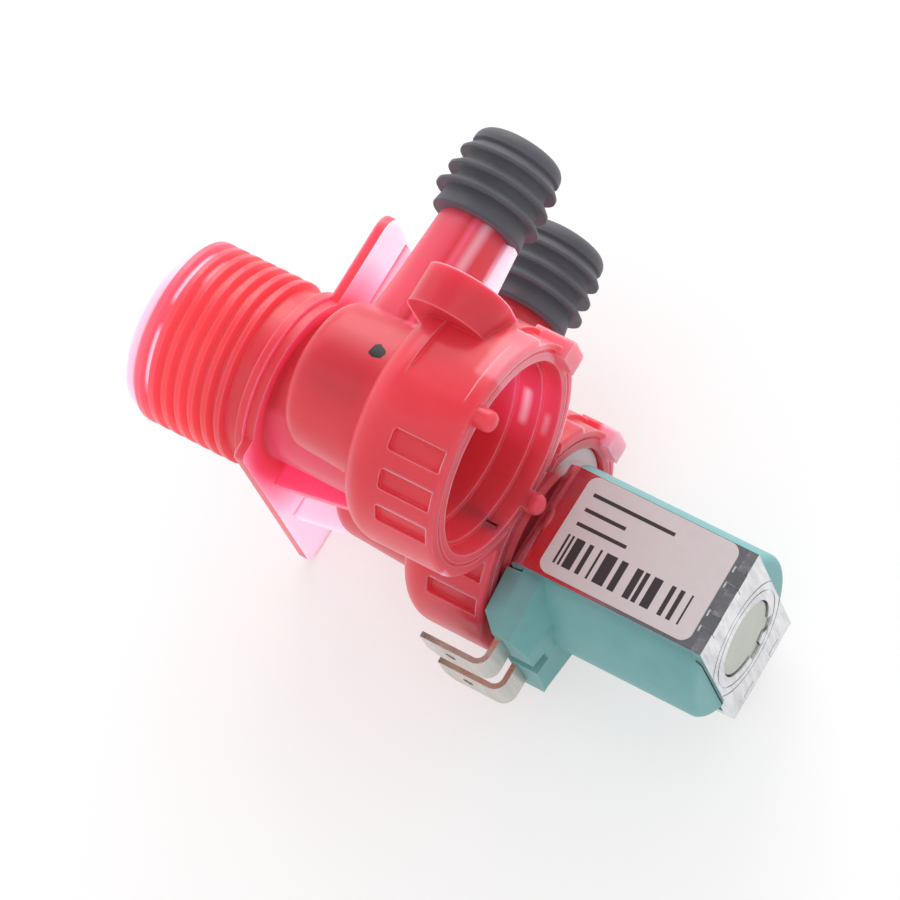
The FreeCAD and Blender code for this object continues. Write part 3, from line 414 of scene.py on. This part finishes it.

# Painted glow: the light thin plastic gathers is a weak emission, a colour for each place.
NIPPLE_GLOW = (0.42, 0.046, 0.056, 1)
END_GLOW = (0.55, 0.120, 0.180, 1)
HOT_GLOW = (0.26, 0.015, 0.06, 1)
PALE_GLOW = (0.40, 0.28, 0.36, 1)
LIP_GLOW = (0.38, 0.28, 0.36, 1)
no_glow = add_node(tree, "ShaderNodeRGB")
no_glow.outputs["Color"].default_value = (0, 0, 0, 1)
glow = tinted(tree, nipple, no_glow.outputs["Color"], NIPPLE_GLOW)
glow = tinted(tree, nipple_end, glow, END_GLOW)
glow = tinted(tree, hot, glow, HOT_GLOW)
glow = tinted(tree, pale, glow, PALE_GLOW)
glow = tinted(tree, lip, glow, LIP_GLOW)
link(glow, tree.nodes["Principled BSDF"].inputs["Emission Color"])

# A spot of black ink with a ragged edge sits on the blank chamber's drum.
INK_PLACE = (18.7 * MM, 2.8 * MM, 26.0 * MM)
INK_RADIUS = 1.1 * MM
INK_RAGGED = 0.7 * MM
INK_BLACK = (0.012, 0.010, 0.014, 1)
ragged = add_node(tree, "ShaderNodeTexNoise", {"Scale": 1400.0, "Detail": 2.0})
reach = add_node(tree, "ShaderNodeVectorMath", {1: INK_PLACE}, operation="DISTANCE")
link(place.outputs["Object"], ragged.inputs["Vector"])
link(place.outputs["Object"], reach.inputs[0])
uneven = add_node(tree, "ShaderNodeMath", {1: INK_RAGGED, 2: INK_RADIUS - INK_RAGGED / 2},
                  operation="MULTIPLY_ADD")
link(ragged.outputs["Fac"], uneven.inputs[0])
inked = combined(tree, "LESS_THAN", reach.outputs["Value"], uneven.outputs["Value"])
colour = tinted(tree, inked, colour, INK_BLACK)
link(colour, tree.nodes["Principled BSDF"].inputs["Base Color"])
smoothed("valve_body").data.materials.append(body_red)


# Outlet seals
# Two sleeves of black rubber pushed over the outlet ends. Each has three lips and a rounded
# nose, with the faint bloom that moulded rubber gets in store as a sheen, and a weak painted glow
# that lifts its shade.

# The weak emission is a painted glow that lightens the rubber's shaded side.
rubber = new_finish("bloomed_rubber_painted_glow", Specular_IOR_Level=0.4, Sheen_Weight=0.12,
                    Sheen_Roughness=0.5, Emission_Color=(0.85, 0.80, 1.0, 1),
                    Emission_Strength=0.040)
put_effect(rubber, SKIN, Tone=(0.056, 0.057, 0.070, 1), Deep_Tone=(0.036, 0.036, 0.044, 1),
           Cloud_Scale=160.0, Grain_Scale=1800.0, Grain_Depth=0.12,
           Gloss_Low=0.48, Gloss_High=0.66)
for node in ("outlet_seal_near", "outlet_seal_far"):
    smoothed(node).data.materials.append(rubber)


# Inlet strainer and flow washer
# A basket of pale plastic clips into the hose nipple, with the flow washer of black rubber
# behind it.

strainer_white = new_finish("strainer_plastic", Subsurface_Weight=0.2,
                            Subsurface_Scale=1 * MM)
put_effect(strainer_white, SKIN, Tone=(0.80, 0.79, 0.76, 1), Deep_Tone=(0.72, 0.71, 0.68, 1),
           Cloud_Scale=120.0, Grain_Scale=1500.0, Grain_Depth=0.05,
           Gloss_Low=0.35, Gloss_High=0.5)
smoothed("inlet_strainer").data.materials.append(strainer_white)
smoothed("flow_washer").data.materials.append(rubber)


# Guide tube
# A plug of pale plastic that closes the far chamber, with a tube that runs through the coil.
# Its flange is painted red in shade, standing for red light thrown from the collar round it, and
# painted pale where light falls in.

PAINTED_COLLAR_BOUNCE_RED = (0.85, 0.08, 0.11, 1)
PAINTED_LIT_PALE = (0.78, 0.62, 0.64, 1)
guide_grey = new_finish("guide_plastic", Subsurface_Weight=0.35, Subsurface_Scale=2 * MM,
                        Subsurface_Radius=(1.0, 0.95, 0.8))
guide_skin = put_effect(guide_grey, SKIN, Tone=(0.60, 0.62, 0.54, 1),
                        Deep_Tone=(0.50, 0.53, 0.46, 1),
                        Cloud_Scale=220.0, Grain_Scale=1600.0, Grain_Depth=0.06,
                        Gloss_Low=0.32, Gloss_High=0.48)
tree = guide_grey.node_tree
place = add_node(tree, "ShaderNodeTexCoord")
where = add_node(tree, "ShaderNodeSeparateXYZ")
tree.links.new(place.outputs["Object"], where.inputs["Vector"])
# Painted light: the shaded side gets the collar's bounced red and the lit side a pale tone.
in_shade = zone(tree, where, (20, -40, -40), (39.5, 7.5, 10), 1.5)
in_light = zone(tree, where, (20, 7.5, -40), (39.5, 40, 10), 1.5)
colour = tinted(tree, in_shade, guide_skin.outputs["Color"], PAINTED_COLLAR_BOUNCE_RED)
colour = tinted(tree, in_light, colour, PAINTED_LIT_PALE)
tree.links.new(colour, tree.nodes["Principled BSDF"].inputs["Base Color"])
smoothed("guide_tube").data.materials.append(guide_grey)


# Diaphragm
# A rubber membrane clamped at its rim closes the seat, with a white insert in its hub. The hub
# lifts with the insert and the rim stays, so the membrane stretches along its radius.

FAR_AXIS = np.array((-0.3, -14.8)) * MM
insert_white = new_finish("insert_plastic")
put_effect(insert_white, SKIN, Tone=(0.84, 0.83, 0.80, 1), Deep_Tone=(0.78, 0.77, 0.74, 1),
           Cloud_Scale=150.0, Grain_Scale=1500.0, Grain_Depth=0.04,
           Gloss_Low=0.3, Gloss_High=0.45)
membrane = smoothed("diaphragm")
membrane.data.materials.append(rubber)
smoothed("diaphragm_insert").data.materials.append(insert_white)

# Each point is laid out along X by its distance from the far chamber's axis, and it is put back
# afterwards.
standing = membrane.matrix_world.copy()
membrane.parent = None
membrane.matrix_world = Matrix.Identity(4)
membrane.data.transform(standing)
points = membrane.data.vertices
resting = np.empty(3 * len(points), np.float32)
points.foreach_get("co", resting)
across = resting.reshape(-1, 3)[:, 1:] - FAR_AXIS
laid_out = np.zeros((len(points), 3), np.float32)
laid_out[:, 0] = np.hypot(across[:, 0], across[:, 1])
points.foreach_set("co", laid_out.ravel())
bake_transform(membrane)
points.foreach_set("co", resting)
membrane.data.update()


# Plunger and spring
# A turned steel core with a rubber tip slides in the guide tube. A coil spring in its back
# shortens against the tube's closed end.

def worked_metal():
    """Rolled or turned metal: a streaked tone, uneven gloss and fine scratches in the bump."""
    tree, given, result = new_effect("worked_metal", [
        ("Tone", "NodeSocketColor", (0.7, 0.7, 0.7, 1)),
        ("Dull Tone", "NodeSocketColor", (0.5, 0.5, 0.5, 1)),
        ("Streak", "NodeSocketVector", (300.0, 300.0, 300.0)),
        ("Depth", "NodeSocketFloat", 0.1),
        ("Gloss Low", "NodeSocketFloat", 0.15),
        ("Gloss High", "NodeSocketFloat", 0.35),
    ], [
        ("Color", "NodeSocketColor"),
        ("Roughness", "NodeSocketFloat"),
        ("Normal", "NodeSocketVector"),
    ])
    link = tree.links.new
    place = add_node(tree, "ShaderNodeTexCoord")
    along = add_node(tree, "ShaderNodeVectorMath", operation="MULTIPLY")
    link(place.outputs["Object"], along.inputs[0])
    link(given.outputs["Streak"], along.inputs[1])
    streak = add_node(tree, "ShaderNodeTexNoise",
                      {"Scale": 1.0, "Detail": 6.0, "Roughness": 0.65})
    link(along.outputs["Vector"], streak.inputs["Vector"])
    spread = add_node(tree, "ShaderNodeMapRange", {"From Min": 0.35, "From Max": 0.68})
    link(streak.outputs["Fac"], spread.inputs["Value"])
    tint = add_node(tree, "ShaderNodeMix", data_type="RGBA")
    link(spread.outputs["Result"], tint.inputs["Factor"])
    link(given.outputs["Tone"], tint.inputs["A"])
    link(given.outputs["Dull Tone"], tint.inputs["B"])
    link(tint.outputs["Result"], result.inputs["Color"])
    gloss = add_node(tree, "ShaderNodeMix", data_type="FLOAT")
    link(spread.outputs["Result"], gloss.inputs["Factor"])
    link(given.outputs["Gloss Low"], gloss.inputs["A"])
    link(given.outputs["Gloss High"], gloss.inputs["B"])
    link(gloss.outputs["Result"], result.inputs["Roughness"])
    bump = add_node(tree, "ShaderNodeBump", {"Distance": 0.05 * MM})
    link(streak.outputs["Fac"], bump.inputs["Height"])
    link(given.outputs["Depth"], bump.inputs["Strength"])
    link(bump.outputs["Normal"], result.inputs["Normal"])
    return tree


METAL = worked_metal()
core_steel = new_finish("turned_steel", Metallic=1.0)
put_effect(core_steel, METAL, Tone=(0.62, 0.62, 0.63, 1), Dull_Tone=(0.50, 0.50, 0.51, 1),
           Streak=(4000.0, 200.0, 200.0), Gloss_Low=0.2, Gloss_High=0.35)
spring_wire = new_finish("spring_wire", Metallic=1.0)
put_effect(spring_wire, METAL, Tone=(0.68, 0.68, 0.69, 1), Dull_Tone=(0.55, 0.55, 0.56, 1),
           Streak=(900.0, 900.0, 900.0), Gloss_Low=0.18, Gloss_High=0.3)
smoothed("plunger_tip_seal").data.materials.append(rubber)
smoothed("plunger").data.materials.append(core_steel)
spring = smoothed("plunger_spring")
spring.data.materials.append(spring_wire)
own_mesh(spring)


# Yoke
# A strip of plated steel bent round the coil and closed by a plate that is staked on, with a
# flux sleeve in each end of the coil. The plating is bright, with rolling streaks.

yoke_steel = new_finish("plated_strip", Metallic=1.0)
put_effect(yoke_steel, METAL, Tone=(0.78, 0.78, 0.80, 1), Dull_Tone=(0.60, 0.60, 0.63, 1),
           Streak=(90.0, 900.0, 300.0), Depth=0.05, Gloss_Low=0.12, Gloss_High=0.26)
plate_steel = new_finish("plated_end", Metallic=1.0)
put_effect(plate_steel, METAL, Tone=(0.80, 0.80, 0.82, 1), Dull_Tone=(0.58, 0.58, 0.61, 1),
           Streak=(400.0, 700.0, 120.0), Depth=0.3, Gloss_Low=0.14, Gloss_High=0.34)
smoothed("yoke_frame").data.materials.append(yoke_steel)
smoothed("yoke_end_plate").data.materials.append(plate_steel)
for node in ("flux_sleeve_front", "flux_sleeve_rear"):
    smoothed(node).data.materials.append(yoke_steel)


# Coil
# Copper wire wound on a spool and moulded over in teal plastic filled with glass, which
# leaves a slightly mottled satin skin.

bobbin_teal = new_finish("spool_plastic")
put_effect(bobbin_teal, SKIN, Tone=(0.16, 0.33, 0.33, 1), Deep_Tone=(0.12, 0.27, 0.27, 1),
           Cloud_Scale=200.0, Grain_Scale=1500.0, Grain_Depth=0.08,
           Gloss_Low=0.4, Gloss_High=0.55)
copper = new_finish("copper_wire", Metallic=1.0, Coat_Weight=0.4, Coat_Roughness=0.2)
put_effect(copper, METAL, Tone=(0.80, 0.38, 0.18, 1), Dull_Tone=(0.60, 0.26, 0.12, 1),
           Streak=(5000.0, 150.0, 150.0), Depth=0.5, Gloss_Low=0.25, Gloss_High=0.4)
coil_teal = new_finish("coil_moulding", Coat_Weight=0.06, Coat_Roughness=0.35)
put_effect(coil_teal, SKIN, Tone=(0.200, 0.455, 0.460, 1), Deep_Tone=(0.160, 0.405, 0.410, 1),
           Cloud_Scale=260.0, Grain_Scale=1300.0, Grain_Depth=0.16,
           Gloss_Low=0.42, Gloss_High=0.58)
smoothed("coil_bobbin").data.materials.append(bobbin_teal)
smoothed("coil_winding").data.materials.append(copper)
smoothed("coil_overmould").data.materials.append(coil_teal)


# Terminals
# Two blade tabs stamped from tinned brass strip. The faces are tin grey and the cut edges,
# which face along Z, show the brass.

CUT_BRASS = (0.62, 0.66, 0.52, 1)
EDGE_SLOPE = 0.4
tab_tin = new_finish("tinned_brass", Metallic=1.0)
tab_skin = put_effect(tab_tin, METAL, Tone=(0.66, 0.64, 0.60, 1),
                      Dull_Tone=(0.52, 0.50, 0.46, 1), Streak=(500.0, 500.0, 60.0),
                      Depth=0.15, Gloss_Low=0.22, Gloss_High=0.40)
tree = tab_tin.node_tree
link = tree.links.new
facing = add_node(tree, "ShaderNodeNewGeometry")
slope = add_node(tree, "ShaderNodeSeparateXYZ")
link(facing.outputs["True Normal"], slope.inputs["Vector"])
along_z = add_node(tree, "ShaderNodeMath", operation="ABSOLUTE")
link(slope.outputs["Z"], along_z.inputs[0])
cut_edge = add_node(tree, "ShaderNodeMath", {1: EDGE_SLOPE}, operation="GREATER_THAN")
link(along_z.outputs["Value"], cut_edge.inputs[0])
colour = tinted(tree, cut_edge.outputs["Value"], tab_skin.outputs["Color"], CUT_BRASS)
link(colour, tree.nodes["Principled BSDF"].inputs["Base Color"])
for node in ("terminal_1", "terminal_2"):
    smoothed(node).data.materials.append(tab_tin)


# Label
# A small film label stuck on the yoke. A plain block of uneven bars and three thin rules are
# printed on it.

BAR_PITCH = 0.34 * MM
BLANK_CHANCE = 0.45
BAR_MARGINS = (1.6, 2.4)
BAR_LEVELS = (1.7, 6.2)
RULE_HEIGHT = 0.55
RULES = ((7.7, 1.8, 9.6), (9.9, 1.8, 8.2), (12.2, 1.8, 14.6))
PRINT_BLACK = (0.03, 0.025, 0.03, 1)
PAPER_TONES = {"A": (0.66, 0.59, 0.60, 1), "B": (0.60, 0.54, 0.55, 1)}

label_film = new_finish("label_film", Roughness=0.5)
tree = label_film.node_tree
link = tree.links.new
label_low, label_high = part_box("label")
place = add_node(tree, "ShaderNodeTexCoord")
where = add_node(tree, "ShaderNodeSeparateXYZ")
link(place.outputs["Object"], where.inputs["Vector"])

# The bars are steps along X of one pitch each, and chance leaves some of the steps blank. The
# rules are given in millimetres by their level and their two ends.
stepped = add_node(tree, "ShaderNodeMath", {1: BAR_PITCH}, operation="SNAP")
link(where.outputs["X"], stepped.inputs[0])
counted = add_node(tree, "ShaderNodeMath", {1: 1 / BAR_PITCH}, operation="MULTIPLY")
link(stepped.outputs["Value"], counted.inputs[0])
chance = add_node(tree, "ShaderNodeTexWhiteNoise", noise_dimensions="1D")
link(counted.outputs["Value"], chance.inputs["W"])
bars = between(tree, chance.outputs["Value"], BLANK_CHANCE, PAST_ONE)
bars_x = between(tree, where.outputs["X"],
                 label_low.x + BAR_MARGINS[0] * MM, label_high.x - BAR_MARGINS[1] * MM)
bars_y = between(tree, where.outputs["Y"],
                 label_low.y + BAR_LEVELS[0] * MM, label_low.y + BAR_LEVELS[1] * MM)
printing = combined(tree, "MULTIPLY", bars, combined(tree, "MULTIPLY", bars_x, bars_y))
for level, start, stop in RULES:
    rule_x = between(tree, where.outputs["X"], label_low.x + start * MM, label_low.x + stop * MM)
    rule_y = between(tree, where.outputs["Y"], label_low.y + level * MM,
                     label_low.y + (level + RULE_HEIGHT) * MM)
    rule = combined(tree, "MULTIPLY", rule_x, rule_y)
    printing = combined(tree, "MAXIMUM", printing, rule)

fibre = add_node(tree, "ShaderNodeTexNoise", {"Scale": 700.0, "Detail": 4.0})
link(place.outputs["Object"], fibre.inputs["Vector"])
paper = add_node(tree, "ShaderNodeMix", PAPER_TONES, data_type="RGBA")
link(fibre.outputs["Fac"], paper.inputs["Factor"])
colour = tinted(tree, printing, paper.outputs["Result"], PRINT_BLACK)
link(colour, tree.nodes["Principled BSDF"].inputs["Base Color"])
film_bump = add_node(tree, "ShaderNodeBump", {"Strength": 0.05, "Distance": 0.05 * MM})
link(fibre.outputs["Fac"], film_bump.inputs["Height"])
link(film_bump.outputs["Normal"], tree.nodes["Principled BSDF"].inputs["Normal"])
smoothed("label").data.materials.append(label_film)


# Table
# A wide white table that runs to the horizon. The camera sees it a little brighter than it
# is lit, and it keeps the shadow.

def square_sheet(name, half, height=0.0):
    """A flat square of four points round the origin, at a height."""
    corners = [(-half, -half, height), (half, -half, height),
               (half, half, height), (-half, half, height)]
    mesh = bpy.data.meshes.new(name)
    mesh.from_pydata(corners, [], [(0, 1, 2, 3)])
    sheet = bpy.data.objects.new(name, mesh)
    bpy.context.scene.collection.objects.link(sheet)
    return sheet


def seen_directly(tree):
    """One for rays from the camera, off a mirror or through glass, and nought for the rest."""
    path = add_node(tree, "ShaderNodeLightPath")
    mirrored = combined(tree, "MAXIMUM", path.outputs["Is Glossy Ray"],
                        path.outputs["Is Transmission Ray"])
    return combined(tree, "MAXIMUM", path.outputs["Is Camera Ray"], mirrored)


TABLE_HALF = 3.0
TABLE_DROP = 0.1 * MM
TABLE_LIT = (0.92, 0.92, 0.92, 1)
TABLE_SEEN = (0.50, 0.50, 0.50, 1)
TABLE_GLOW = 0.52
table = square_sheet("table", TABLE_HALF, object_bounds()[0][2] - TABLE_DROP)
table_white = new_finish("table_white", Roughness=0.75, Specular_IOR_Level=0.1,
                         Emission_Color=(1, 1, 1, 1))
tree = table_white.node_tree
shader = tree.nodes["Principled BSDF"]
seen = seen_directly(tree)
surface = add_node(tree, "ShaderNodeMix", {"A": TABLE_LIT, "B": TABLE_SEEN}, data_type="RGBA")
tree.links.new(seen, surface.inputs["Factor"])
tree.links.new(surface.outputs["Result"], shader.inputs["Base Color"])
tree.links.new(share(tree, seen, TABLE_GLOW), shader.inputs["Emission Strength"])
table.data.materials.append(table_white)


# Lights
# A large soft box high at the back, a weaker one low at the back and an even white room. A
# dark card above keeps the plated yoke from turning white.

def soft_box(name, spot, target, wide, power):
    """A square lamp at a spot that faces a target."""
    lamp = bpy.data.lights.new(name, "AREA")
    lamp.shape = "SQUARE"
    lamp.size = wide
    lamp.energy = power
    holder = bpy.data.objects.new(name, lamp)
    bpy.context.scene.collection.objects.link(holder)
    holder.location = spot
    holder.rotation_euler = (Vector(target) - Vector(spot)).to_track_quat("-Z", "Y").to_euler()


BODY_MIDDLE = (0.02, 0, 0)
COIL_MIDDLE = Vector((0.05, 0, 0))
CARD_HALF = 0.3
CARD_SPOT = Vector((-0.24, 0.16, 0.71))
soft_box("overhead_box", (-0.42, 0.62, 0.50), BODY_MIDDLE, wide=0.6, power=2.4)
soft_box("back_box", (-0.15, 0.65, 0.15), BODY_MIDDLE, wide=0.5, power=2.0)

card = square_sheet("dark_card", CARD_HALF)
card.location = CARD_SPOT
card.rotation_euler = (COIL_MIDDLE - CARD_SPOT).to_track_quat("-Z", "Y").to_euler()
card.visible_diffuse = False
card.visible_shadow = False
card.data.materials.append(new_finish("card_grey", Base_Color=(0.16, 0.16, 0.17, 1),
                                      Roughness=0.9, Specular_IOR_Level=0.0))

ROOM_LIT = 0.82
ROOM_SEEN = 1.0
room = bpy.data.worlds.new("white_room")
bpy.context.scene.world = room
room.use_nodes = True
tree = room.node_tree
level = add_node(tree, "ShaderNodeMapRange", {"To Min": ROOM_LIT, "To Max": ROOM_SEEN})
tree.links.new(seen_directly(tree), level.inputs["Value"])
tree.links.new(level.outputs["Result"], tree.nodes["Background"].inputs["Strength"])
tree.nodes["Background"].inputs["Color"].default_value = (1, 1, 1, 1)


# Camera
# A long lens that looks down on the label side, rolled as the photograph was turned.

VIEW_FROM = Vector((249.03, -126.87, 550.67)) * MM
LOOK_AT = Vector((24.007, 1.369, 0.0)) * MM
UPWARD = Vector((-0.4134, 0.8349, 0.3634))
FOCAL_LENGTH = 180.01
FILM_WIDTH = 36.0
forward = (LOOK_AT - VIEW_FROM).normalized()
right = forward.cross(UPWARD).normalized()
upright = right.cross(forward)
lens = bpy.data.cameras.new("camera")
lens.sensor_width = FILM_WIDTH
lens.lens = FOCAL_LENGTH
lens.clip_start = 0.01
lens.clip_end = 20.0
camera = bpy.data.objects.new("camera", lens)
bpy.context.scene.collection.objects.link(camera)
turn = Matrix((right, upright, -forward)).transposed().to_4x4()
camera.matrix_world = Matrix.Translation(VIEW_FROM) @ turn
bpy.context.scene.camera = camera
bpy.context.scene.view_settings.view_transform = "Standard"
